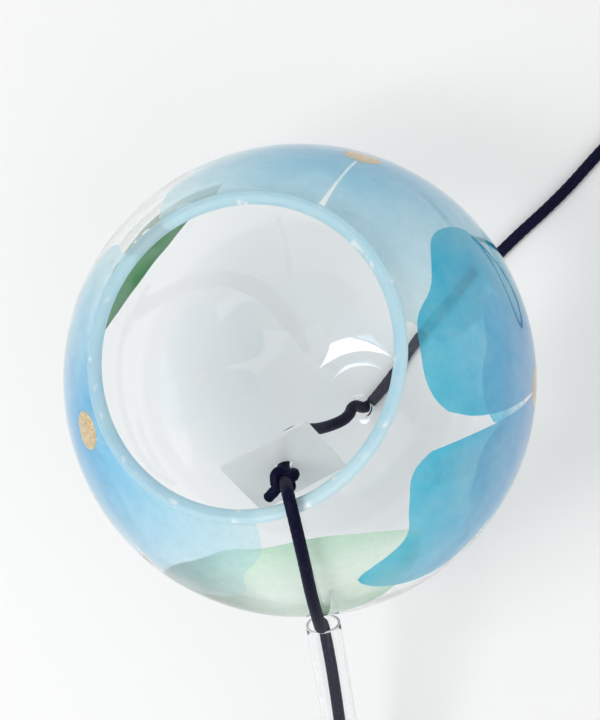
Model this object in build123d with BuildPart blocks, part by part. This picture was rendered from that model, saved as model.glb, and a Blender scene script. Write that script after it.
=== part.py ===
import os
from math import cos, pi, radians, sin, sqrt, tan

from build123d import *

os.makedirs("parts", exist_ok=True)

# A glass wind bell lying crown down on a table, with its clapper and paper strip laid out beside it.
# X is to the right, Y away along the table, Z up. The origin is the point that the glass stands on.

# Glass bell: heights are along its own axis, from the globe's centre
globe_radius = 40.0
glass_wall = 1.8
mouth_height_share = 0.74575  # of the globe's radius, up to the mouth's outer edge
mouth_bevel_height = 0.5  # from the mouth's inner edge to its outer edge
mouth_edge_round = 0.3
crown_facet_share = 0.98  # of the globe's radius, down to the flat that is ground across the crown
crown_facet_round = 0.3
crown_thickness = 2.6
crown_inner_round = 2.0
cord_hole_radius = 1.8
cord_hole_round = 0.5
mouth_lean = 19.2  # degrees from upright
mouth_heading = 155.0  # degrees from +X, the way that the mouth leans

# Cord, the same kind all through, and its knots
cord_diameter = 2.1
corner_share = 0.45  # of the shorter run that each bend of a cord takes up
free_gap = 0.3  # between pieces that move past each other
knot_core_share = 0.82  # of a knot's radius that its solid middle fills
knot_turn_tilts = [(35, 15, 0), (-55, 40, 70), (20, -70, 140)]  # degrees, of a knot's three turns of cord
stopper_knot_radius = 2.7
stopper_knot_place = (-2.5, -15.8, 66.5)
loop_knot_radius = 2.9
loop_knot_place = (66.0, 53.0, 2.9)
clapper_knot_radius = 2.9
clapper_knot_place = (14.3, -103.6, 2.9)

# Stopper plate
plate_side = 16.0
plate_thickness = 0.5
plate_corner_radius = 0.8
plate_hole_radius = 1.6
plate_place = (-2.67, -13.7, 63.7)
plate_face_way = (0.288, -0.753, 0.592)
plate_edge_way = (-0.866, -0.468, -0.174)

# Clapper tube: its lower end stands on the clapper knot
tube_length = 68.0
tube_radius = 3.0
tube_bore_radius = 2.55
tube_end_round = 0.2
tube_slope = 27.0  # degrees below level
tube_heading = -80.5  # degrees from +X
tube_seat = 2.5  # from the knot's centre to the tube's lower end

# Paper strip: it lies from its loop of cord down to the table
strip_length = 130.0
strip_width = 36.0
strip_thickness = 0.4
strip_corner_radius = 1.5
strip_hole_radius = 2.1
strip_hole_inset = 5.5
strip_heading = -78.0  # degrees from +X
strip_reach = 17.0  # from the clapper knot's centre to the hole

# Routes of the cords, chosen by hand
hanging_cord_points = [
    (-2.5, -15.8, 66.5),
    (-3.0, -9.8, 58.5),
    (-1.2, -8.6, 47.0),
    (0.9, -8.5, 35.0),
    (4.0, -8.6, 24.0),
    (8.6, -7.0, 15.5),
    (9.54, -4.45, 9.78),
    (12.26, -5.72, 1.1),
    (16.3, -0.9, 1.1),
    (22.4, 7.7, 1.1),
    (36.4, 23.2, 1.1),
    (47.6, 33.2, 1.1),
    (55.6, 42.4, 1.1),
    (64.5, 51.6, 1.9),
]
hanging_loop_points = [
    (68.2, 52.8, 1.6),
    (70.0, 46.7, 1.1),
    (75.8, 39.8, 1.1),
    (80.0, 31.5, 1.1),
    (80.2, 22.9, 1.1),
    (74.2, 17.0, 1.1),
    (65.7, 19.2, 1.1),
    (61.8, 27.1, 1.1),
    (62.7, 37.0, 1.1),
    (64.7, 45.6, 1.1),
    (66.7, 50.9, 1.6),
]
lower_cord_points = [
    (-2.3, -16.2, 69.5),
    (-2.1, -16.8, 75.6),
    (-0.95, -21.4, 76.3),
    (0.65, -28.6, 70.6),
    (1.85, -34.7, 63.4),
    (2.95, -39.1, 55.0),
    (3.6, -42.1, 43.3),
    (3.81, -40.88, 34.6),
    (5.65, -50.4, 30.3),
    (7.7, -65.4, 22.7),
    (11.2, -83.8, 13.0),
    (13.83, -100.79, 4.35),
]
strip_loop_points = [
    (14.87, -106.29, 5.15),
    (15.44, -108.98, 6.05),
    (16.59, -114.36, 6.3),
    (17.83, -120.23, 6.4),
    (17.83, -120.23, 1.1),
    (16.59, -114.36, 1.15),
    (15.44, -108.98, 1.1),
    (15.01, -106.93, 1.5),
]

# Worked out from the sizes above
cord_radius = cord_diameter / 2
inner_radius = globe_radius - glass_wall
mouth_outer_height = globe_radius * mouth_height_share
mouth_inner_height = mouth_outer_height - mouth_bevel_height
crown_facet_height = globe_radius * crown_facet_share
lean, heading = radians(mouth_lean), radians(mouth_heading)
globe_centre = Vector(0, 0, globe_radius)
mouth_way = Vector(sin(lean) * cos(heading), sin(lean) * sin(heading), cos(lean))
side_way = Vector(-sin(heading), cos(heading), 0)  # level, square to the bell's axis


def cord_along(name, route_points):
    # straight runs joined by tangent arcs, each arc as large as its two runs allow
    points = [Vector(*point) for point in route_points]
    radii = []
    for before, corner, after in zip(points, points[1:], points[2:]):
        run_in = corner - before
        run_out = after - corner
        half_turn = radians(run_in.get_angle(run_out)) / 2
        shorter = min(run_in.length, run_out.length)
        radii.append(corner_share * shorter / tan(half_turn))
    with BuildPart() as cord:
        with BuildLine() as route:
            FilletPolyline(*points, radius=radii)
        with BuildSketch(Plane(origin=route.line @ 0, z_dir=route.line % 0)):
            Circle(cord_radius)
        sweep()
    cord.part.label = name
    length = sum(edge.length for edge in route.edges())
    fill = cord.part.volume / (pi * cord_radius**2 * length)
    print(name, "bend radii in mm:", [round(radius, 1) for radius in radii])
    print(name, "length in mm:", round(length, 1), "volume against section:", round(fill, 4))
    return cord


def knot_at(name, place, radius):
    # three turns of cord about a solid middle
    with BuildPart() as knot:
        with Locations(place):
            Sphere(radius * knot_core_share)
        for tilts in knot_turn_tilts:
            with Locations(Location(place, tilts)):
                Torus(radius - cord_radius, cord_radius)
    knot.part.label = name
    return knot


# Glass bell: its section, turned about its axis, then its edges rounded
facet_radius = sqrt(globe_radius**2 - crown_facet_height**2)
pad_height = crown_facet_height - crown_thickness
pad_radius = sqrt(inner_radius**2 - pad_height**2)
outer_mouth = (sqrt(globe_radius**2 - mouth_outer_height**2), mouth_outer_height)
inner_mouth = (sqrt(inner_radius**2 - mouth_inner_height**2), mouth_inner_height)
section_plane = Plane(origin=globe_centre, x_dir=side_way, z_dir=side_way.cross(mouth_way))


def rims(part, radius):
    return [
        edge
        for edge in part.edges().filter_by(GeomType.CIRCLE)
        if abs(edge.radius - radius) < mouth_edge_round / 2 and edge.is_closed
    ]


with BuildPart() as glass_bell:
    with BuildSketch(section_plane):
        with BuildLine():
            ThreePointArc(outer_mouth, (globe_radius, 0), (facet_radius, -crown_facet_height))
            Polyline(
                (facet_radius, -crown_facet_height),
                (cord_hole_radius, -crown_facet_height),
                (cord_hole_radius, -pad_height),
                (pad_radius, -pad_height),
            )
            ThreePointArc((pad_radius, -pad_height), (inner_radius, 0), inner_mouth)
            Line(inner_mouth, outer_mouth)
        make_face()
    revolve(axis=Axis(globe_centre, mouth_way))
    fillet(rims(glass_bell, cord_hole_radius), cord_hole_round)
    fillet(rims(glass_bell, pad_radius), crown_inner_round)
    fillet(rims(glass_bell, facet_radius), crown_facet_round)
    fillet(rims(glass_bell, outer_mouth[0]), mouth_edge_round)
    fillet(rims(glass_bell, inner_mouth[0]), mouth_edge_round)
glass_bell.part.label = "glass_bell"
export_step(glass_bell.part, "parts/glass_bell.step")

# Stopper plate: a square of frosted film, threaded on the cord
plate_plane = Plane(origin=plate_place, x_dir=plate_edge_way, z_dir=plate_face_way)

with BuildPart() as stopper_plate:
    with BuildSketch(plate_plane.offset(-plate_thickness / 2)):
        RectangleRounded(plate_side, plate_side, plate_corner_radius)
        Circle(plate_hole_radius, mode=Mode.SUBTRACT)
    extrude(amount=plate_thickness)
stopper_plate.part.label = "stopper_plate"
export_step(stopper_plate.part, "parts/stopper_plate.step")

# Cords and knots, from the stopper knot down and out of the crown, then round the hanging loop
stopper_knot = knot_at("stopper_knot", stopper_knot_place, stopper_knot_radius)
export_step(stopper_knot.part, "parts/stopper_knot.step")
hanging_cord = cord_along("hanging_cord", hanging_cord_points)
export_step(hanging_cord.part, "parts/hanging_cord.step")
loop_knot = knot_at("loop_knot", loop_knot_place, loop_knot_radius)
export_step(loop_knot.part, "parts/loop_knot.step")
hanging_loop = cord_along("hanging_loop", hanging_loop_points)
export_step(hanging_loop.part, "parts/hanging_loop.step")

# Cord from the stopper knot over the mouth's edge and through the clapper tube, to its knot
lower_cord = cord_along("lower_cord", lower_cord_points)
export_step(lower_cord.part, "parts/lower_cord.step")
clapper_knot = knot_at("clapper_knot", clapper_knot_place, clapper_knot_radius)
export_step(clapper_knot.part, "parts/clapper_knot.step")

# Clapper tube, from the end that stands on the knot up to the end that leans on the glass
slope, tube_turn = radians(tube_slope), radians(tube_heading)
tube_way = Vector(cos(slope) * cos(tube_turn), cos(slope) * sin(tube_turn), -sin(slope))
tube_low_end = Vector(*clapper_knot_place) - tube_way * tube_seat

with BuildPart() as clapper_tube:
    with BuildSketch(Plane(origin=tube_low_end, z_dir=-tube_way)):
        Circle(tube_radius)
        Circle(tube_bore_radius, mode=Mode.SUBTRACT)
    extrude(amount=tube_length)
    fillet(clapper_tube.edges().filter_by(GeomType.CIRCLE), tube_end_round)
clapper_tube.part.label = "clapper_tube"
export_step(clapper_tube.part, "parts/clapper_tube.step")

# Loop of cord below the clapper knot, through the paper strip's hole
strip_loop = cord_along("strip_loop", strip_loop_points)
export_step(strip_loop.part, "parts/strip_loop.step")

# Paper strip: its near end lies on the loop's lower strand, its far end on the table
strip_turn = radians(strip_heading)
strip_level_way = Vector(cos(strip_turn), sin(strip_turn), 0)
strip_near_height = cord_diameter + free_gap + strip_thickness
strip_fall = (strip_near_height - strip_thickness / 2) / strip_length
strip_way = (strip_level_way - Vector(0, 0, strip_fall)).normalized()
strip_near_end = Vector(clapper_knot_place[0], clapper_knot_place[1], strip_near_height)
strip_near_end += strip_level_way * (strip_reach - strip_hole_inset)
strip_plane = Plane(
    origin=strip_near_end,
    x_dir=strip_way,
    z_dir=strip_level_way.cross(Vector(0, 0, 1)).cross(strip_way),
)

with BuildPart() as paper_strip:
    with BuildSketch(strip_plane.offset(-strip_thickness / 2)):
        with Locations((strip_length / 2, 0)):
            RectangleRounded(strip_length, strip_width, strip_corner_radius)
        with Locations((strip_hole_inset, 0)):
            Circle(strip_hole_radius, mode=Mode.SUBTRACT)
    extrude(amount=strip_thickness)
paper_strip.part.label = "paper_strip"
export_step(paper_strip.part, "parts/paper_strip.step")

print("mouth way:", [round(value, 4) for value in mouth_way])
print("tube way:", [round(value, 4) for value in tube_way], "low end:", tube_low_end)
print("strip way:", [round(value, 4) for value in strip_way], "near end:", strip_near_end)
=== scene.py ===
from math import acos, cos, exp, pi, radians, sin, sqrt, tau

import bmesh
import bpy
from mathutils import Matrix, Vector, noise


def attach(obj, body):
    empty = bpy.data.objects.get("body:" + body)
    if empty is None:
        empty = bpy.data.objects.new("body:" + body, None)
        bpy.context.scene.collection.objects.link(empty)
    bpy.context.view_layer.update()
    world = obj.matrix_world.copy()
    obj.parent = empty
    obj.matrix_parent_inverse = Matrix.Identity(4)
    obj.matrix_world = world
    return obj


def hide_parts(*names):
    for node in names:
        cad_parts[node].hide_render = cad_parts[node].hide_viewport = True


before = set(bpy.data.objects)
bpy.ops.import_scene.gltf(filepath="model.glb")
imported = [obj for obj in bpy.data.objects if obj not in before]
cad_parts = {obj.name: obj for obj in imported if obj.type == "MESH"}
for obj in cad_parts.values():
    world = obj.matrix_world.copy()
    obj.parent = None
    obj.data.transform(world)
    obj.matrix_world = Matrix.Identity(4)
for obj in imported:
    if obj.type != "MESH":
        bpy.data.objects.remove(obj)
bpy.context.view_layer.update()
mm = 0.001


def newMaterial(name):
    material = bpy.data.materials.new(name)
    material.use_nodes = True
    nodes, links = material.node_tree.nodes, material.node_tree.links
    nodes.clear()
    output = nodes.new("ShaderNodeOutputMaterial")
    shader = nodes.new("ShaderNodeBsdfPrincipled")
    links.new(shader.outputs[0], output.inputs["Surface"])
    return material, nodes, links, shader


def attributeNode(nodes, name):
    node = nodes.new("ShaderNodeAttribute")
    node.attribute_name = name
    return node


def noiseNode(nodes, links, scale, detail, roughness, vector=None):
    node = nodes.new("ShaderNodeTexNoise")
    node.inputs["Scale"].default_value = scale
    node.inputs["Detail"].default_value = detail
    node.inputs["Roughness"].default_value = roughness
    if vector is None:
        vector = nodes.new("ShaderNodeTexCoord").outputs["Object"]
    links.new(vector, node.inputs["Vector"])
    return node.outputs[0]


def rangeNode(nodes, links, value, between, to):
    # the value's share of the way between two numbers, laid out between two others
    node = nodes.new("ShaderNodeMapRange")
    node.inputs["From Min"].default_value, node.inputs["From Max"].default_value = between
    node.inputs["To Min"].default_value, node.inputs["To Max"].default_value = to
    links.new(value, node.inputs["Value"])
    return node.outputs["Result"]


def largerOf(nodes, links, first, second):
    node = nodes.new("ShaderNodeMath")
    node.operation = "MAXIMUM"
    links.new(first, node.inputs[0])
    links.new(second, node.inputs[1])
    return node.outputs[0]


def mixColour(nodes, links, factor, first, second):
    node = nodes.new("ShaderNodeMix")
    node.data_type = "RGBA"
    # 6 and 7 are the numbers of this node's colour sockets
    for socket, value in ((0, factor), (6, first), (7, second)):
        if isinstance(value, tuple):
            node.inputs[socket].default_value = (*value, 1)
        else:
            links.new(value, node.inputs[socket])
    return node.outputs[2]


def mixShaders(nodes, links, share, first, second):
    mix = nodes.new("ShaderNodeMixShader")
    if isinstance(share, float):
        mix.inputs[0].default_value = share
    else:
        links.new(share, mix.inputs[0])
    links.new(first.outputs[0], mix.inputs[1])
    links.new(second.outputs[0], mix.inputs[2])
    return mix


def showSurface(nodes, links, shader):
    links.new(shader.outputs[0], nodes["Material Output"].inputs["Surface"])


def bumpNode(nodes, links, height, strength, distance, shader):
    node = nodes.new("ShaderNodeBump")
    node.inputs["Strength"].default_value = strength
    node.inputs["Distance"].default_value = distance
    links.new(height, node.inputs["Height"])
    links.new(node.outputs[0], shader.inputs["Normal"])


def passingLight(nodes, links):
    # 1 for light on its way to other pieces, 0 for what is looked at
    path = nodes.new("ShaderNodeLightPath")
    return largerOf(nodes, links, path.outputs["Is Shadow Ray"], path.outputs["Is Diffuse Ray"])


def letLightThrough(nodes, links, shader, colour):
    # light on its way goes straight through, and only what is looked at is bent
    through = nodes.new("ShaderNodeBsdfTransparent")
    through.inputs["Color"].default_value = (*colour, 1)
    showSurface(nodes, links, mixShaders(nodes, links, passingLight(nodes, links), shader, through))


def linear(red, green, blue):
    # a colour as it looks, 0 to 255, to the renderer's own values
    return tuple(((c / 255 + 0.055) / 1.055) ** 2.4 if c > 10 else c / 3294 for c in (red, green, blue))


def joinRows(mesh, first, second, closed=True):
    # faces between two rows of vertices, which close into rings or stay open
    faces = []
    for step in range(len(first) if closed else len(first) - 1):
        after = (step + 1) % len(first)
        faces.append(mesh.faces.new((first[step], first[after], second[after], second[step])))
    return faces


def meshData(mesh, name, *materials):
    data = bpy.data.meshes.new(name)
    mesh.to_mesh(data)
    mesh.free()
    for material in materials:
        data.materials.append(material)
    return data


def newObject(name, data, body):
    piece = bpy.data.objects.new(name, data)
    bpy.context.scene.collection.objects.link(piece)
    for polygon in data.polygons:
        polygon.use_smooth = True
    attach(piece, body)
    return piece


cameraSettings = {"place": (0, 0.0034, 0.530), "lens": 144.65, "sensor": 36, "nearest": 0.01}
camera = bpy.data.cameras.new("camera")
camera.lens = cameraSettings["lens"]
camera.sensor_width = cameraSettings["sensor"]
camera.clip_start = cameraSettings["nearest"]
cameraObject = bpy.data.objects.new("camera", camera)
cameraObject.location = cameraSettings["place"]  # it looks straight down at the table
bpy.context.scene.collection.objects.link(cameraObject)
bpy.context.scene.camera = cameraObject
print("camera placed")

cord = {
    "radius": 1.05 * mm,
    "sides": 36,
    "ringStep": 0.16 * mm,
    "strands": 6,
    "strandPitch": 9.0 * mm,  # length in which a strand goes once round
    "relief": 0.085 * mm,
    "strandRound": 0.7,  # powers of the sines that round a strand across and along
    "passRound": 0.6,
    "underShare": 0.45,  # height of a strand where it passes under another
    "endRoundShare": 0.6,  # length of a cut end's rounding, in radii
    "endShare": 0.12,  # thickness left at the very end
    "lastStepShare": 0.3,  # a last step shorter than this is left out
    "uprightCosine": 0.9,  # a start steeper than this takes its sides from X
}

navy = linear(6, 7, 46)
shadedNavy = linear(3, 4, 24)
paleNavy = linear(70, 78, 130)


def cordMaterial():
    material, nodes, links, shader = newMaterial("navyBraid")
    weave = attributeNode(nodes, "weave")
    fleck = noiseNode(nodes, links, scale=1500, detail=3, roughness=0.7)
    fleckAmount = rangeNode(nodes, links, fleck, (0.62, 0.72), (0, 0.4))
    # painted shade: the navy darkens where the strands sink, in the grooves between them and where one
    # passes under another
    shadedStrandColour = mixColour(nodes, links, weave.outputs["Fac"], shadedNavy, navy)
    colour = mixColour(nodes, links, fleckAmount, shadedStrandColour, paleNavy)
    links.new(colour, shader.inputs["Base Color"])
    shader.inputs["Roughness"].default_value = 0.62
    shader.inputs["Specular IOR Level"].default_value = 0.12
    shader.inputs["Sheen Weight"].default_value = 0.02
    shader.inputs["Sheen Roughness"].default_value = 0.4
    fibres = noiseNode(nodes, links, scale=5200, detail=2, roughness=0.6)
    bumpNode(nodes, links, fibres, 0.35, 0.06 * mm, shader)
    return material


cordCloth = cordMaterial()


def routeLine(name, points):
    # the smooth line of a cord's route, read from its NURBS spline
    curve = bpy.data.curves.new(name, "CURVE")
    curve.dimensions = "3D"
    curve.resolution_u = 20
    spline = curve.splines.new("NURBS")
    spline.points.add(len(points) - 1)
    for point, place in zip(spline.points, points):
        point.co = (place[0], place[1], place[2], 1)
    spline.order_u = 3
    spline.use_endpoint_u = True
    holder = bpy.data.objects.new(name, curve)
    bpy.context.scene.collection.objects.link(holder)
    line = bpy.data.meshes.new_from_object(holder)
    path = [vertex.co.copy() for vertex in line.vertices]
    bpy.data.objects.remove(holder)
    bpy.data.meshes.remove(line)
    return path


def evenly(path, step):
    # the same line with its points a step apart
    spaced = [path[0].copy()]
    left = step
    for start, end in zip(path, path[1:]):
        run = (end - start).length
        way = 0.0
        while run - way >= left:
            way += left
            spaced.append(start.lerp(end, way / run))
            left = step
        left -= run - way
    if (spaced[-1] - path[-1]).length > step * cord["lastStepShare"]:
        spaced.append(path[-1].copy())
    return spaced


def braidHeight(around, along):
    # strands that wind both ways and pass over and under each other, from 0 to 1
    first = around * cord["strands"] + along * cord["strands"] / cord["strandPitch"]
    second = around * cord["strands"] - along * cord["strands"] / cord["strandPitch"]
    over = (int(first // 1) + int(second // 1)) % 2
    across, down = (first % 1, second % 1) if over else (second % 1, first % 1)
    under = cord["underShare"]
    rise = under + (1 - under) * max(0.0, sin(pi * down)) ** cord["passRound"]
    return max(0.0, sin(pi * across)) ** cord["strandRound"] * rise


def braidedTube(name, path, body, radius=cord["radius"]):
    rings = evenly(path, cord["ringStep"])
    count, sides = len(rings), cord["sides"]
    side = Vector((0, 0, 1))
    mesh = bmesh.new()
    weave = mesh.verts.layers.float.new("weave")
    loops = []
    for index, place in enumerate(rings):
        before = rings[max(index - 1, 0)]
        after = rings[min(index + 1, count - 1)]
        way = (after - before).normalized()
        if index == 0 and abs(way.dot(side)) > cord["uprightCosine"]:
            side = Vector((1, 0, 0))
        side = (side - way * side.dot(way)).normalized()
        other = way.cross(side)
        along = index * cord["ringStep"]
        fromEnd = min(index, count - 1 - index) * cord["ringStep"]
        # a cut end is drawn in a little
        intoEnd = max(0.0, 1 - fromEnd / (radius * cord["endRoundShare"]))
        full = max(sqrt(max(0.0, 1 - intoEnd**2)), cord["endShare"])
        loop = []
        for step in range(sides):
            angle = tau * step / sides
            height = braidHeight(step / sides, along)
            reach = (radius - cord["relief"] * (1 - height)) * full
            vertex = mesh.verts.new(place + (side * cos(angle) + other * sin(angle)) * reach)
            vertex[weave] = height
            loop.append(vertex)
        loops.append(loop)
    for first, second in zip(loops, loops[1:]):
        joinRows(mesh, first, second)
    mesh.faces.new(list(reversed(loops[0])))
    mesh.faces.new(loops[-1])
    mesh.normal_update()
    return newObject(name, meshData(mesh, name, cordCloth), body)


def metres(points):
    return [tuple(value * mm for value in point) for point in points]


hangingCordPoints = metres(
    [
        (-2.5, -15.8, 66.5),
        (-3.0, -9.8, 58.5),
        (-1.2, -8.6, 47.0),
        (0.9, -8.5, 35.0),
        (4.0, -8.6, 24.0),
        (8.6, -7.0, 15.5),
        (9.54, -4.45, 9.78),
        (12.26, -5.72, 1.1),
        (16.3, -0.9, 1.1),
        (22.4, 7.7, 1.1),
        (36.4, 23.2, 1.1),
        (47.6, 33.2, 1.1),
        (55.6, 42.4, 1.1),
        (64.5, 51.6, 1.9),
    ]
)
hangingLoopPoints = metres(
    [
        (68.2, 52.8, 1.6),
        (70.0, 46.7, 1.1),
        (75.8, 39.8, 1.1),
        (80.0, 31.5, 1.1),
        (80.2, 22.9, 1.1),
        (74.2, 17.0, 1.1),
        (65.7, 19.2, 1.1),
        (61.8, 27.1, 1.1),
        (62.7, 37.0, 1.1),
        (64.7, 45.6, 1.1),
        (66.7, 50.9, 1.6),
    ]
)
lowerCordPoints = metres(
    [
        (-2.4, -16.0, 67.0),
        (-2.1, -16.8, 75.6),
        (-0.95, -21.4, 76.3),
        (0.65, -28.6, 70.6),
        (1.85, -34.7, 63.4),
        (2.95, -39.1, 55.0),
        (3.6, -42.1, 43.3),
        (3.81, -40.88, 34.6),
        (5.65, -50.4, 30.3),
        (7.7, -65.4, 22.7),
        (11.2, -83.8, 13.0),
        (14.0, -101.8, 3.8),
    ]
)
stripLoopPoints = metres(
    [
        (14.55, -104.8, 4.2),
        (15.44, -108.98, 6.05),
        (16.59, -114.36, 6.3),
        (17.83, -120.23, 6.4),
        (17.83, -120.23, 1.1),
        (16.59, -114.36, 1.15),
        (15.44, -108.98, 1.1),
        (14.6, -105.0, 1.9),
    ]
)

knot = {"turnRadius": 0.92 * mm, "spread": 0.62 * mm, "height": 0.85 * mm, "steps": 160}


def knotPath(centre, way, spread, height, turn=0.0):
    # an overhand knot pulled tight: the path of a trefoil, about the cord's own way
    way = Vector(way).normalized()
    side = way.orthogonal().normalized()
    other = way.cross(side)
    path = []
    for step in range(knot["steps"] + 1):
        angle = tau * step / knot["steps"] + turn
        across = (sin(angle) + 2 * sin(2 * angle)) * spread
        up = (cos(angle) - 2 * cos(2 * angle)) * spread
        along = -sin(3 * angle) * height
        path.append(Vector(centre) + side * across + other * up + way * along)
    return path


def overhandKnot(name, node, body, centre, way, tails, turn=0.0):
    centre = Vector(centre) * mm
    turns = knotPath(centre, way, knot["spread"], knot["height"], turn)
    parts = [braidedTube(name, turns, body, knot["turnRadius"])]
    for tail in tails:
        path = routeLine(name + "Tail", metres(tail))
        parts.append(braidedTube(name + "Tail", path, body, knot["turnRadius"]))
    merged = bmesh.new()
    for part in parts:
        merged.from_mesh(part.data)
    merged.to_mesh(parts[0].data)
    merged.free()
    for part in parts[1:]:
        bpy.data.objects.remove(part)
    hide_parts(node)
    return parts[0]


def plainCord(name, node, body, points):
    path = routeLine(name, points)
    piece = braidedTube(name, path, body)
    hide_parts(node)
    return piece, path


hangingCord, hangingPath = plainCord("hangingCord", "hanging_cord", "bell", hangingCordPoints)
hangingLoop, loopPath = plainCord("hangingLoop", "hanging_loop", "bell", hangingLoopPoints)
lowerCord, lowerPath = plainCord("lowerCord", "lower_cord", "clapper_line", lowerCordPoints)
stripLoop, stripPath = plainCord("stripLoop", "strip_loop", "strip", stripLoopPoints)

overhandKnot(
    "stopperKnot",
    "stopper_knot",
    "bell",
    (-2.5, -15.8, 66.5),
    (0.3, -0.7, 0.6),
    [[(-2.4, -15.6, 66.4), (-3.4, -16.8, 66.9), (-4.6, -18.2, 66.4), (-5.4, -19.0, 65.6)]],
    0.5,
)
loopKnot = overhandKnot("loopKnot", "loop_knot", "bell", (66.0, 53.0, 2.9), (0.74, 0.67, 0.0), [])
clapperKnot = overhandKnot(
    "clapperKnot", "clapper_knot", "strip_turn", (14.3, -103.6, 2.9), (0.147, -0.879, -0.454), []
)

print("cords and knots made")

bell = {
    "centre": Vector((0, 0, 40)) * mm,
    "mouthWay": Vector((-0.2981, 0.1390, 0.9444)).normalized(),
    "outerRadius": 40.0,  # lengths from here on are in mm
    "innerRadius": 38.2,
    "facetHeight": 39.2,
    "padHeight": 36.6,
    "holeRadius": 1.8,
    "outerMouth": (26.65, 29.83),
    "innerMouth": (24.48, 29.33),
    "edgeRound": 0.5,
    "padRound": 2.2,
    "padRows": 8,
    "lipRound": 0.3,
    "lipBulge": 0.12,
    "lipRows": 6,
    "lipMargin": 0.012,  # angles, in radians, at which the wall stops short of its corners
    "crownMargin": 0.02,
    "padMargin": 0.08,
    "segments": 288,
    "rows": 96,
    "wave": 0.05,  # mm by which the blown wall is uneven
    "waveScales": (2.3, 6.1),
    "fineWaveShare": 0.4,
    "tint": (0.985, 0.995, 1.0),
    "ripple": (38, 0.10, 0.8 * mm),  # scale, strength and height of the ripples in the glass
    "lightTint": (0.965, 0.972, 0.972),  # of light that passes straight through
}
bell["sideWay"] = Vector((0.9545, 0.0434, 0.2949)).normalized()
bell["otherWay"] = bell["mouthWay"].cross(bell["sideWay"]).normalized()


def bellPoint(radius, height, angle):
    # radius and height about the bell's own axis, in mm, to a place in the scene
    level = bell["sideWay"] * cos(angle) + bell["otherWay"] * sin(angle)
    return bell["centre"] + (level * radius + bell["mouthWay"] * height) * mm


def wallWave(direction):
    coarse, fine = bell["waveScales"]
    swell = noise.noise(direction * coarse) + bell["fineWaveShare"] * noise.noise(direction * fine)
    return bell["wave"] * swell


def arcPoint(radius, angle):
    # (radius, height) on a circle, the angle from the mouth axis
    return radius * sin(angle), radius * cos(angle)


def arcPoints(radius, startAngle, endAngle, count):
    turn = endAngle - startAngle
    return [arcPoint(radius, startAngle + turn * step / count) for step in range(count + 1)]


def roundedCorner(before, corner, after, size, count=5):
    before, corner, after = Vector(before), Vector(corner), Vector(after)
    start = corner + (before - corner).normalized() * size
    end = corner + (after - corner).normalized() * size
    points = []
    for step in range(count + 1):
        way = step / count
        points.append(tuple((1 - way) ** 2 * start + 2 * way * (1 - way) * corner + way**2 * end))
    return points


def bellProfile():
    outerRadius, innerRadius = bell["outerRadius"], bell["innerRadius"]
    lipOuter = acos(bell["outerMouth"][1] / outerRadius)
    lipInner = acos(bell["innerMouth"][1] / innerRadius)
    facetEdge = pi - acos(bell["facetHeight"] / outerRadius)
    padEdge = pi - acos(bell["padHeight"] / innerRadius)
    outerStart, outerEnd = lipOuter + bell["lipMargin"], facetEdge - bell["crownMargin"]
    innerStart, innerEnd = padEdge - bell["padMargin"], lipInner + bell["lipMargin"]
    facetCorner = (outerRadius * sin(facetEdge), -bell["facetHeight"])
    padCorner = (innerRadius * sin(padEdge), -bell["padHeight"])
    holeLow = (bell["holeRadius"], -bell["facetHeight"])
    holeHigh = (bell["holeRadius"], -bell["padHeight"])
    lipEdge, creaseEdge = bell["innerMouth"], bell["outerMouth"]
    edgeRound, lipRound = bell["edgeRound"], bell["lipRound"]
    profile, parts = [], []

    def add(points, part):
        profile.extend(points)
        parts.extend([part] * len(points))

    add(arcPoints(outerRadius, outerStart, outerEnd, bell["rows"]), "outer")
    add(roundedCorner(arcPoint(outerRadius, outerEnd), facetCorner, holeLow, edgeRound), "crown")
    add(roundedCorner(facetCorner, holeLow, holeHigh, edgeRound), "hole")
    add(roundedCorner(holeLow, holeHigh, padCorner, edgeRound), "hole")
    wallStart = arcPoint(innerRadius, innerStart)
    add(roundedCorner(holeHigh, padCorner, wallStart, bell["padRound"], bell["padRows"]), "pad")
    add(arcPoints(innerRadius, innerStart, innerEnd, bell["rows"]), "inner")
    add(roundedCorner(arcPoint(innerRadius, innerEnd), lipEdge, creaseEdge, lipRound), "lip")
    for step in range(1, bell["lipRows"]):
        way = step / bell["lipRows"]
        radius = lipEdge[0] + (creaseEdge[0] - lipEdge[0]) * way
        height = lipEdge[1] + (creaseEdge[1] - lipEdge[1]) * way + bell["lipBulge"] * sin(pi * way)
        add([(radius, height)], "lip")
    add(roundedCorner(lipEdge, creaseEdge, arcPoint(outerRadius, outerStart), lipRound), "lip")
    return profile, parts


def glassMaterial(name, tint, ripple):
    material, nodes, links, shader = newMaterial(name)
    scale, strength, distance = ripple
    shader.inputs["Base Color"].default_value = (*tint, 1)
    shader.inputs["Roughness"].default_value = 0.0
    shader.inputs["IOR"].default_value = 1.46
    shader.inputs["Transmission Weight"].default_value = 1.0
    waves = noiseNode(nodes, links, scale, detail=2, roughness=0.5)
    bumpNode(nodes, links, waves, strength, distance, shader)
    letLightThrough(nodes, links, shader, bell["lightTint"])
    return material


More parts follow.
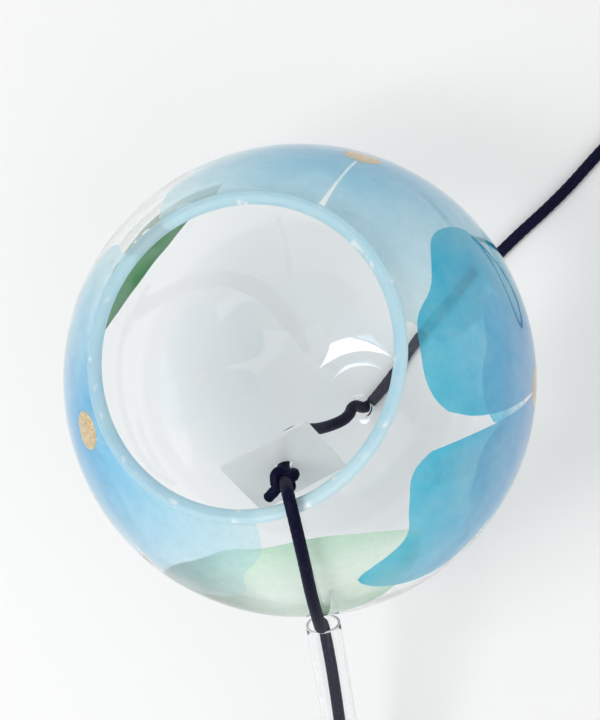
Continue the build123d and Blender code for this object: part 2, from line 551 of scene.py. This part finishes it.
def lipMaterial():
    material, nodes, links, shader = newMaterial("frostedLip")
    mottle = noiseNode(nodes, links, scale=420, detail=3, roughness=0.6)
    tone = mixColour(nodes, links, mottle, linear(176, 218, 232), linear(206, 232, 238))
    # the chips are painted near-white: partly the frosted break, partly a painted glint
    chippingAndGlint = attributeNode(nodes, "chipWhiteAndGlint")
    tone = mixColour(nodes, links, chippingAndGlint.outputs["Fac"], tone, linear(250, 252, 252))
    links.new(tone, shader.inputs["Base Color"])
    links.new(rangeNode(nodes, links, mottle, (0.3, 0.7), (0.35, 0.6)), shader.inputs["Roughness"])
    shader.inputs["IOR"].default_value = 1.46
    shader.inputs["Transmission Weight"].default_value = 0.4
    grain = noiseNode(nodes, links, scale=2600, detail=3, roughness=0.7)
    bumpNode(nodes, links, grain, 0.5, 0.08 * mm, shader)
    return material


clearGlass = glassMaterial("clearGlass", bell["tint"], bell["ripple"])
frostedLip = lipMaterial()

chips = {
    "coarse": (9, 0.7),  # scale of the noise round the mouth and across the cut edge
    "fine": (34, 1.6),
    "coarseShare": 1.1,
    "fineShare": 0.6,
    "sparseness": 0.52,
    "grain": 0.05,  # mm
    "depth": 0.55,  # mm
    # how strongly the chips are painted near-white, partly frosted break and partly painted glint
    "whitenessAndGlint": 4,
}


def lipNoise(angle, radius, scales):
    around, across = scales
    return noise.noise(Vector((cos(angle) * around, sin(angle) * around, radius * across)))


def lipChip(angle, radius):
    # how chipped the cut edge is here, which also sets the painted glint on the chips, and how far it sinks,
    # in mm
    coarse = lipNoise(angle, radius, chips["coarse"])
    fine = lipNoise(angle, radius, chips["fine"])
    chippingAndGlint = max(0.0, coarse * chips["coarseShare"] + fine * chips["fineShare"] - chips["sparseness"])
    return chippingAndGlint, max(0.0, chips["grain"] * fine + chips["depth"] * chippingAndGlint)


def makeBell():
    profile, parts = bellProfile()
    mesh = bmesh.new()
    chipWhiteAndGlint = mesh.verts.layers.float.new("chipWhiteAndGlint")
    rings = []
    for (radius, height), part in zip(profile, parts):
        ring = []
        for step in range(bell["segments"]):
            angle = tau * step / bell["segments"]
            unit = Vector((cos(angle) * radius, sin(angle) * radius, height)).normalized()
            shift = wallWave(unit) if part in ("outer", "inner", "lip") else 0.0
            chippingAndGlint, sink = lipChip(angle, radius) if part == "lip" else (0.0, 0.0)
            outward = bell["sideWay"] * unit.x + bell["otherWay"] * unit.y + bell["mouthWay"] * unit.z
            place = bellPoint(radius, height, angle) + outward * shift * mm
            vertex = mesh.verts.new(place - bell["mouthWay"] * sink * mm)
            # near-white at the chips: partly frosted break, partly painted glint
            vertex[chipWhiteAndGlint] = min(1.0, chippingAndGlint * chips["whitenessAndGlint"])
            ring.append(vertex)
        rings.append(ring)
    for first, second, part in zip(rings, rings[1:] + rings[:1], parts):
        for face in joinRows(mesh, first, second):
            face.material_index = 1 if part == "lip" else 0
    bmesh.ops.recalc_face_normals(mesh, faces=mesh.faces)
    data = meshData(mesh, "glassBell", clearGlass, frostedLip)
    piece = newObject("glassBell", data, "bell")
    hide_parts("glass_bell")
    return piece


makeBell()
print("glass bell made")

# a petal is its way round the flower's centre, half its width and its length, in degrees
flowers = [
    {
        "name": "topFlower",
        "centre": (74, 68),  # degrees from the mouth, degrees round the bell
        "depth": 0.18,  # mm in from the outer side of the paint's bed
        "inner": (136, 210, 238),
        "outer": (226, 248, 253),
        "petals": [(-46, 38, 60), (31, 38, 55), (101, 38, 47), (173, 38, 36), (-115, 38, 56)],
    },
    {
        "name": "leftFlower",
        "centre": (51, -160),
        "depth": 0.14,
        "inner": (118, 202, 240),
        "outer": (216, 242, 246),
        "petals": [(82, 39, 56), (154, 38, 42), (-134, 38, 40), (-64, 38, 47), (8, 38, 40)],
    },
    {
        "name": "rightFlower",
        "centre": (99, -3),
        "depth": 0.10,
        "inner": (138, 196, 236),
        "outer": (40, 202, 232),
        "petals": [(22, 44, 54), (-59, 33, 68), (-128, 40, 42), (156, 40, 40), (92, 30, 42)],
        "pointedPetal": 1,  # counted from 0
    },
]

paint = {
    "rows": 26,
    "columns": 30,
    "bed": 0.34,  # mm of the wall, from its inner face out, that the coats of paint lie in
    "coat": 0.006,  # mm between one petal and the next
    "clipBelowLip": 0.35,  # mm of bare glass below the cut edge
    "weld": 1e-6,  # metres within which corners become one
    "roughness": 0.5,
    "washColour": (0.92, 0.97, 1.0),
    "washShare": 0.28,
    "sheerness": (0.36, 0.54),  # share of light that passes, tinted
    "paleSheerness": (0.58, 0.72),
    "shadowSheerness": 0.74,
    "shadowColour": (0.93, 0.95, 0.96),
}


def sphereFrame(polar, around):
    # a direction on the bell and the two ways across it: to the mouth, and round
    polar, around = radians(polar), radians(around)
    level = bell["sideWay"] * cos(around) + bell["otherWay"] * sin(around)
    centre = bell["mouthWay"] * cos(polar) + level * sin(polar)
    toMouth = bell["mouthWay"] * sin(polar) - level * cos(polar)
    roundBell = bell["otherWay"] * cos(around) - bell["sideWay"] * sin(around)
    return centre, toMouth, roundBell


def shellPoint(direction, depth):
    # inside the wall, near its inner face, so that paint and glass touch with no air between
    local = Vector([direction.dot(bell[way]) for way in ("sideWay", "otherWay", "mouthWay")])
    reach = bell["innerRadius"] + wallWave(local) + paint["bed"] - depth
    return bell["centre"] + direction * reach * mm


def paintMaterial(name, sheerness):
    material, nodes, links, shader = newMaterial(name)
    tint = attributeNode(nodes, "tint")
    wash = noiseNode(nodes, links, scale=75, detail=4, roughness=0.6)
    blotch = noiseNode(nodes, links, scale=260, detail=3, roughness=0.6)
    washAmount = rangeNode(nodes, links, wash, (0.35, 0.75), (0.0, paint["washShare"]))
    colour = mixColour(nodes, links, washAmount, tint.outputs["Color"], paint["washColour"])
    links.new(colour, shader.inputs["Base Color"])
    shader.inputs["Roughness"].default_value = paint["roughness"]
    passing = passingLight(nodes, links)
    sheer = nodes.new("ShaderNodeBsdfTransparent")
    links.new(mixColour(nodes, links, passing, colour, paint["shadowColour"]), sheer.inputs["Color"])
    seenShare = rangeNode(nodes, links, blotch, (0.3, 0.7), sheerness)
    passingShare = rangeNode(nodes, links, passing, (0.0, 1.0), (0.0, paint["shadowSheerness"]))
    share = largerOf(nodes, links, seenShare, passingShare)
    showSurface(nodes, links, mixShaders(nodes, links, share, shader, sheer))
    return material


petalPaint = paintMaterial("bluePaint", paint["sheerness"])
palePetalPaint = paintMaterial("paleBluePaint", paint["paleSheerness"])
leafPaint = paintMaterial("greenPaint", paint["sheerness"])


def paintedPatch(name, grid, depth, colours, material):
    # grid is rows of directions on the bell; colours the same rows of tints
    mesh = bmesh.new()
    tint = mesh.verts.layers.float_color.new("tint")
    rows = []
    for directions, tints in zip(grid, colours):
        row = []
        for direction, colour in zip(directions, tints):
            vertex = mesh.verts.new(shellPoint(direction, depth))
            vertex[tint] = (*colour, 1)
            row.append(vertex)
        rows.append(row)
    for first, second in zip(rows, rows[1:]):
        joinRows(mesh, first, second, closed=False)
    bmesh.ops.remove_doubles(mesh, verts=mesh.verts, dist=paint["weld"])
    lipHeight = (bell["innerMouth"][1] - paint["clipBelowLip"]) * mm
    bmesh.ops.bisect_plane(
        mesh,
        geom=mesh.verts[:] + mesh.edges[:] + mesh.faces[:],
        plane_co=bell["centre"] + bell["mouthWay"] * lipHeight,
        plane_no=bell["mouthWay"],
        clear_outer=True,
    )
    return newObject(name, meshData(mesh, name, material), "bell")


# lengths and widths here are shares of a petal's own length and half width
petalShape = {
    "start": 0.05,
    "waist": 0.93,
    "swell": 0.06,
    "shoulder": 0.70,
    "roundRise": 0.30,
    "roundPower": 2.4,
    "notch": 0.05,
    "notchNarrowness": 5,
    "raggedness": 0.05,
    "raggedScales": (2.2, 3.7, 50),  # across a petal, from petal to petal, by a flower's depth
}
pointShape = {
    "offMiddle": 0.29,
    "shoulder": 0.83,
    "rise": 0.2,
    "steepSide": 0.24,
    "longSide": 0.45,
    "fall": 0.12,
    "fallPower": 6,
    "raggedness": 0.03,
}
petalShade = {"steepness": 1.15, "start": 0.1, "raggedness": 0.12}


def roundTip(across, ragged):
    # how far out a petal reaches at this part of its width, with a small notch at its middle
    rise = petalShape["roundRise"] * sqrt(max(0.0, 1 - abs(across) ** petalShape["roundPower"]))
    notch = petalShape["notch"] * exp(-((across * petalShape["notchNarrowness"]) ** 2))
    return petalShape["shoulder"] + rise + petalShape["raggedness"] * ragged - notch


def pointedTip(across, ragged):
    # the same for a petal that runs out to a point, off its middle
    offPoint = across + pointShape["offMiddle"]
    spread = pointShape["steepSide"] if offPoint > 0 else pointShape["longSide"]
    rise = pointShape["rise"] * exp(-((offPoint / spread) ** 2))
    fall = pointShape["fall"] * abs(across) ** pointShape["fallPower"]
    return pointShape["shoulder"] + rise - fall + pointShape["raggedness"] * ragged


def petal(flower, index, direction, halfWidth, length):
    centre, toMouth, roundBell = sphereFrame(*flower["centre"])
    inner, outer = Vector(linear(*flower["inner"])), Vector(linear(*flower["outer"]))
    tipShape = pointedTip if index == flower.get("pointedPetal") else roundTip
    acrossScale, petalScale, depthScale = petalShape["raggedScales"]
    seed = len(flower["name"]) + flower["depth"] * depthScale
    grid, colours = [], []
    for row in range(paint["rows"] + 1):
        out = row / paint["rows"]
        directions, tints = [], []
        for column in range(paint["columns"] + 1):
            across = 2 * column / paint["columns"] - 1
            ragged = noise.noise(Vector((across * acrossScale, index * petalScale, seed)))
            tip = tipShape(across, ragged)
            reach = radians(length) * (petalShape["start"] + out * (tip - petalShape["start"]))
            width = petalShape["waist"] + petalShape["swell"] * sin(pi * out)
            angle = radians(direction) + radians(halfWidth) * across * width
            way = toMouth * cos(angle) + roundBell * sin(angle)
            directions.append(centre * cos(reach) + way * sin(reach))
            shade = out * petalShade["steepness"] - petalShade["start"] + petalShade["raggedness"] * ragged
            tints.append(tuple(inner.lerp(outer, min(1.0, max(0.0, shade)))))
        grid.append(directions)
        colours.append(tints)
    name = f"{flower['name']}Petal{index + 1}"
    coat = palePetalPaint if flower["name"] == "leftFlower" else petalPaint
    return paintedPatch(name, grid, flower["depth"] + paint["coat"] * index, colours, coat)


for flower in flowers:
    for index, (direction, halfWidth, length) in enumerate(flower["petals"]):
        petal(flower, index, direction, halfWidth, length)

leaves = [
    {
        "name": "lowerLeaf",
        "centre": (72, -87),
        "turn": 80,  # degrees, from the way to the mouth
        "half": 37,  # degrees: half the leaf's length, and half its width
        "width": 21,
        "depth": 0.22,
        "edge": (194, 232, 204),
        "middle": (238, 252, 238),
        "stalkEnd": (34, 126, 80),
    },
    {
        "name": "farLeaf",
        "centre": (90, 140),
        "turn": 90,
        "half": 28,
        "width": 12,
        "depth": 0.22,
        "edge": (30, 126, 58),
        "middle": (72, 162, 84),
        "stalkEnd": (30, 126, 58),
    },
]
leafShape = {
    "endPower": 2.2,  # powers that draw the outline in towards both ends
    "sidePower": 0.8,
    "raggedness": 0.08,
    "raggedScale": 3,
    "edgePower": 1.5,
    "stalkStart": 0.12,  # share of the half length past which the stalk end's colour sets in
    "stalkFade": 2.0,
}


def leaf(settings):
    centre, toMouth, roundBell = sphereFrame(*settings["centre"])
    turn = radians(settings["turn"])
    along = toMouth * cos(turn) + roundBell * sin(turn)
    side = roundBell * cos(turn) - toMouth * sin(turn)
    edge, middle = Vector(linear(*settings["edge"])), Vector(linear(*settings["middle"]))
    stalkEnd = Vector(linear(*settings["stalkEnd"]))
    grid, colours = [], []
    for row in range(paint["rows"] + 1):
        way = 2 * row / paint["rows"] - 1
        half = max(0.0, 1 - abs(way) ** leafShape["endPower"]) ** leafShape["sidePower"]
        directions, tints = [], []
        for column in range(paint["columns"] + 1):
            across = 2 * column / paint["columns"] - 1
            ragged = noise.noise(Vector((way * leafShape["raggedScale"], across, settings["half"])))
            first = radians(settings["half"]) * way
            second = radians(settings["width"]) * across * half * (1 + leafShape["raggedness"] * ragged)
            reach = sqrt(first**2 + second**2)
            flat = (along * first + side * second) / reach if reach else Vector()
            directions.append(centre * cos(reach) + flat * sin(reach))
            towardEdge = abs(across) ** leafShape["edgePower"]
            towardStalk = min(1.0, max(0.0, -leafShape["stalkStart"] - way) * leafShape["stalkFade"])
            tints.append(tuple(middle.lerp(edge, towardEdge).lerp(stalkEnd, towardStalk)))
        grid.append(directions)
        colours.append(tints)
    return paintedPatch(settings["name"], grid, settings["depth"], colours, leafPaint)


for settings in leaves:
    leaf(settings)


def goldMaterial():
    material, nodes, links, shader = newMaterial("goldGlitter")
    flakes = nodes.new("ShaderNodeTexVoronoi")
    flakes.inputs["Scale"].default_value = 2600
    links.new(nodes.new("ShaderNodeTexCoord").outputs["Object"], flakes.inputs["Vector"])
    # each flake has three random values: its colour, how metallic it is and how it tilts
    flake = nodes.new("ShaderNodeSeparateColor")
    links.new(flakes.outputs["Color"], flake.inputs[0])
    colour = mixColour(nodes, links, flake.outputs[0], linear(206, 168, 104), linear(244, 222, 176))
    links.new(colour, shader.inputs["Base Color"])
    shader.inputs["Roughness"].default_value = 0.38
    metallic = rangeNode(nodes, links, flake.outputs[1], (0.0, 1.0), (0.15, 0.7))
    links.new(metallic, shader.inputs["Metallic"])
    bumpNode(nodes, links, flake.outputs[2], 0.6, 0.1 * mm, shader)
    return material


goldGlitter = goldMaterial()
gold = {
    "radius": 3.2,
    "rows": 10,
    "columns": 48,
    "depth": 0.06,  # nearer the outside than any petal
    "raggedness": 0.05,
    "raggedScales": (2, 40),  # round the disc, by a flower's depth
}


def goldCentre(flower):
    centre, toMouth, roundBell = sphereFrame(*flower["centre"])
    aroundScale, depthScale = gold["raggedScales"]
    mesh = bmesh.new()
    rows = []
    for row in range(gold["rows"] + 1):
        ring = []
        for column in range(gold["columns"]):
            angle = tau * column / gold["columns"]
            spot = Vector((cos(angle) * aroundScale, sin(angle) * aroundScale, flower["depth"] * depthScale))
            ragged = 1 + gold["raggedness"] * noise.noise(spot)
            reach = gold["radius"] / bell["innerRadius"] * row / gold["rows"] * ragged
            way = toMouth * cos(angle) + roundBell * sin(angle)
            direction = centre * cos(reach) + way * sin(reach)
            ring.append(mesh.verts.new(shellPoint(direction, gold["depth"])))
        rows.append(ring)
    for first, second in zip(rows, rows[1:]):
        joinRows(mesh, first, second)
    bmesh.ops.remove_doubles(mesh, verts=mesh.verts, dist=paint["weld"])
    name = flower["name"] + "Centre"
    return newObject(name, meshData(mesh, name, goldGlitter), "bell")


for flower in flowers:
    goldCentre(flower)
print("ornament painted")


film = {"glowShare": 0.35, "lightTint": (0.84, 0.86, 0.87)}  # the tint as for the glass


def filmMaterial():
    material, nodes, links, shader = newMaterial("frostedFilm")
    mottle = noiseNode(nodes, links, scale=300, detail=3, roughness=0.6)
    colour = mixColour(nodes, links, mottle, linear(244, 248, 249), linear(252, 253, 253))
    links.new(colour, shader.inputs["Base Color"])
    shader.inputs["Roughness"].default_value = 0.36
    shader.inputs["IOR"].default_value = 1.12
    shader.inputs["Transmission Weight"].default_value = 0.5
    grain = noiseNode(nodes, links, scale=3500, detail=2, roughness=0.6)
    bumpNode(nodes, links, grain, 0.3, 0.05 * mm, shader)
    # light from behind spreads in the film
    glow = nodes.new("ShaderNodeBsdfTranslucent")
    links.new(colour, glow.inputs["Color"])
    spread = mixShaders(nodes, links, film["glowShare"], shader, glow)
    letLightThrough(nodes, links, spread, film["lightTint"])
    return material


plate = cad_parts["stopper_plate"]
plate.data.materials.clear()
plate.data.materials.append(filmMaterial())

tube = {
    "low": Vector((13.9324, -101.403, 4.03498)) * mm,
    "way": Vector((-0.14707, 0.87881, 0.45399)).normalized(),
    "outer": 3.0,  # radii and lengths from here on are in mm
    "bore": 2.55,
    "length": 68.0,
    "round": 0.2,
    "rows": 40,
    "segments": 96,
    "weld": 1e-7,  # metres, as for the paint
    "tint": (0.99, 0.995, 1.0),
    "ripple": (60, 0.05, 0.4 * mm),
}


def groundEdgeMaterial():
    material, _, _, shader = newMaterial("groundEdge")
    shader.inputs["Base Color"].default_value = (0.93, 0.95, 0.95, 1)
    shader.inputs["Roughness"].default_value = 0.4
    shader.inputs["Transmission Weight"].default_value = 0.25
    return material


def tubeProfile():
    # (radius, height) up the outside, over the top edge, down the bore and over the low edge
    outer, bore, length = tube["outer"], tube["bore"], tube["length"]
    size, rows = tube["round"], tube["rows"]
    straight = length - 2 * size
    outerLow, outerHigh, boreLow, boreHigh = (outer, 0), (outer, length), (bore, 0), (bore, length)
    profile = [(outer, size + straight * step / rows) for step in range(rows + 1)]
    profile += roundedCorner(outerLow, outerHigh, boreHigh, size)
    profile += roundedCorner(outerHigh, boreHigh, boreLow, size)
    profile += [(bore, length - size - straight * step / rows) for step in range(rows + 1)]
    profile += roundedCorner(boreHigh, boreLow, outerLow, size)
    profile += roundedCorner(boreLow, outerLow, outerHigh, size)
    return profile


def makeTube():
    side = tube["way"].orthogonal().normalized()
    other = tube["way"].cross(side)
    profile = tubeProfile()
    mesh = bmesh.new()
    rings = []
    for radius, height in profile:
        ring = []
        for step in range(tube["segments"]):
            angle = tau * step / tube["segments"]
            across = (side * cos(angle) + other * sin(angle)) * radius
            ring.append(mesh.verts.new(tube["low"] + (across + tube["way"] * height) * mm))
        rings.append(ring)
    heights = [height for radius, height in profile]
    for index, ring in enumerate(rings):
        after = (index + 1) % len(rings)
        middle = (heights[index] + heights[after]) / 2
        ground = middle < tube["round"] or middle > tube["length"] - tube["round"]
        for face in joinRows(mesh, ring, rings[after]):
            face.material_index = 1 if ground else 0
    bmesh.ops.remove_doubles(mesh, verts=mesh.verts, dist=tube["weld"])
    bmesh.ops.recalc_face_normals(mesh, faces=mesh.faces)
    tubeGlass = glassMaterial("tubeGlass", tube["tint"], tube["ripple"])
    data = meshData(mesh, "clapperTube", tubeGlass, groundEdgeMaterial())
    piece = newObject("clapperTube", data, "clapper")
    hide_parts("clapper_tube")
    return piece


makeTube()
print("plate and tube made")

strip = {
    "near": Vector((16.691, -114.849, 2.8)) * mm,
    "way": Vector((0.20787, -0.97795, -0.02)).normalized(),
    "length": 130.0,  # lengths from here on are in mm
    "width": 36.0,
    "thickness": 0.3,
    "holeRadius": 2.1,
    "holeReach": 1.6,  # in hole radii: the cut's edges nearer than this belong to the hole
    "holeInset": 5.5,
    "curl": 1.6,
    "curlFall": 0.6,  # share of the curl that is gone at the long edges
    "ripple": 0.25,
    "rippleScales": (0.05, 0.08, 3.0),  # along, across, and a fixed third value
    "rows": 130,
    "columns": 36,
}


def paperMaterial():
    material, nodes, links, shader = newMaterial("fibrePaper")
    coordinates = nodes.new("ShaderNodeTexCoord").outputs["Object"]
    cloud = noiseNode(nodes, links, scale=90, detail=4, roughness=0.6, vector=coordinates)
    colour = mixColour(nodes, links, cloud, linear(238, 234, 220), linear(250, 248, 240))
    stretch = nodes.new("ShaderNodeMapping")
    stretch.inputs["Scale"].default_value = (900, 160, 900)
    stretch.inputs["Rotation"].default_value = (0, 0, 0.5)
    links.new(coordinates, stretch.inputs["Vector"])
    fibre = noiseNode(nodes, links, scale=1.0, detail=4, roughness=0.7, vector=stretch.outputs[0])
    fibreAmount = rangeNode(nodes, links, fibre, (0.62, 0.72), (0.0, 0.5))
    colour = mixColour(nodes, links, fibreAmount, colour, linear(214, 204, 180))
    links.new(colour, shader.inputs["Base Color"])
    shader.inputs["Roughness"].default_value = 0.85
    bumpNode(nodes, links, fibre, 0.5, 0.12 * mm, shader)
    return material


def cutStripHole(mesh):
    # faces near the hole's centre come out, and the edge left behind is drawn to a circle
    centre, radius = Vector((strip["holeInset"], 0)), strip["holeRadius"]
    cut = [face for face in mesh.faces if (face.calc_center_median().xy - centre).length < radius]
    bmesh.ops.delete(mesh, geom=cut, context="FACES")
    for edge in mesh.edges:
        if len(edge.link_faces) > 1:
            continue
        for vertex in edge.verts:
            offset = vertex.co.xy - centre
            if 0 < offset.length < radius * strip["holeReach"]:
                offset = offset.normalized() * radius
                vertex.co.x = strip["holeInset"] + offset.x
                vertex.co.y = offset.y


def paperLift(along, across):
    # the paper arches a little between its ends, less at its long edges, and ripples
    way = along / strip["length"]
    fall = strip["curlFall"] * (across / strip["width"] * 2) ** 2
    alongScale, acrossScale, third = strip["rippleScales"]
    ripple = noise.noise(Vector((along * alongScale, across * acrossScale, third)))
    lift = strip["curl"] * sin(pi * way) ** 2 * (1 - fall) + strip["ripple"] * ripple * sin(pi * way)
    return max(0.0, lift)


def makeStrip():
    way = strip["way"]
    side = way.cross(Vector((0, 0, 1))).normalized()
    up = side.cross(way).normalized()
    mesh = bmesh.new()
    rows = []
    places = [strip["width"] * (column / strip["columns"] - 0.5) for column in range(strip["columns"] + 1)]
    for row in range(strip["rows"] + 1):
        along = strip["length"] * row / strip["rows"]
        rows.append([mesh.verts.new((along, across, 0)) for across in places])
    for first, second in zip(rows, rows[1:]):
        joinRows(mesh, first, second, closed=False)
    cutStripHole(mesh)
    for vertex in mesh.verts:
        along, across = vertex.co.x, vertex.co.y
        vertex.co = strip["near"] + (way * along + side * across + up * paperLift(along, across)) * mm
    bmesh.ops.recalc_face_normals(mesh, faces=mesh.faces)
    piece = newObject("paperStrip", meshData(mesh, "paperStrip", paperMaterial()), "strip")
    thick = piece.modifiers.new("thickness", "SOLIDIFY")
    thick.thickness = strip["thickness"] * mm
    thick.offset = 0
    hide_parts("paper_strip")
    return piece


paperStrip = makeStrip()
print("paper strip made")


table = {"half": 1.6, "tones": ((242, 242, 242), (245, 245, 245))}


def makeTable():
    half = table["half"]
    data = bpy.data.meshes.new("table")
    data.from_pydata(
        [(-half, -half, 0), (half, -half, 0), (half, half, 0), (-half, half, 0)], [], [(0, 1, 2, 3)]
    )
    material, nodes, links, shader = newMaterial("paleTable")
    tone = noiseNode(nodes, links, scale=6, detail=2, roughness=0.5)
    darker, paler = [linear(*values) for values in table["tones"]]
    links.new(mixColour(nodes, links, tone, darker, paler), shader.inputs["Base Color"])
    shader.inputs["Roughness"].default_value = 0.75
    data.materials.append(material)
    tableTop = bpy.data.objects.new("table", data)
    bpy.context.scene.collection.objects.link(tableTop)


makeTable()

lights = {
    "window": {"place": (-0.52, -0.13, 0.88), "size": 0.4, "power": 5.7},
    "fill": {"place": (0.5, -0.5, 0.9), "size": 0.9, "power": 1.5},
}
lampAim = Vector((0, 0, 0.02))


def areaLight(name, settings):
    data = bpy.data.lights.new(name, "AREA")
    data.size = settings["size"]
    data.energy = settings["power"]
    lamp = bpy.data.objects.new(name, data)
    lamp.location = settings["place"]
    aim = lampAim - Vector(settings["place"])
    lamp.rotation_euler = aim.to_track_quat("-Z", "Y").to_euler()
    bpy.context.scene.collection.objects.link(lamp)


for name, settings in lights.items():
    areaLight(name, settings)

room = {
    "low": (0.34, 0.345, 0.35),  # darker towards the horizon, so that glass has edges
    "high": (0.575, 0.575, 0.575),
    "highFrom": 0.8,
    "strength": 1.0,
}


def makeRoom():
    world = bpy.data.worlds.new("room")
    world.use_nodes = True
    nodes, links = world.node_tree.nodes, world.node_tree.links
    parts = nodes.new("ShaderNodeSeparateXYZ")
    links.new(nodes.new("ShaderNodeTexCoord").outputs["Generated"], parts.inputs[0])
    height = rangeNode(nodes, links, parts.outputs["Z"], (0.0, room["highFrom"]), (0.0, 1.0))
    background = nodes["Background"]
    links.new(mixColour(nodes, links, height, room["low"], room["high"]), background.inputs["Color"])
    background.inputs["Strength"].default_value = room["strength"]
    bpy.context.scene.world = world


makeRoom()
bpy.context.scene.view_settings.view_transform = "Standard"
print("light set")
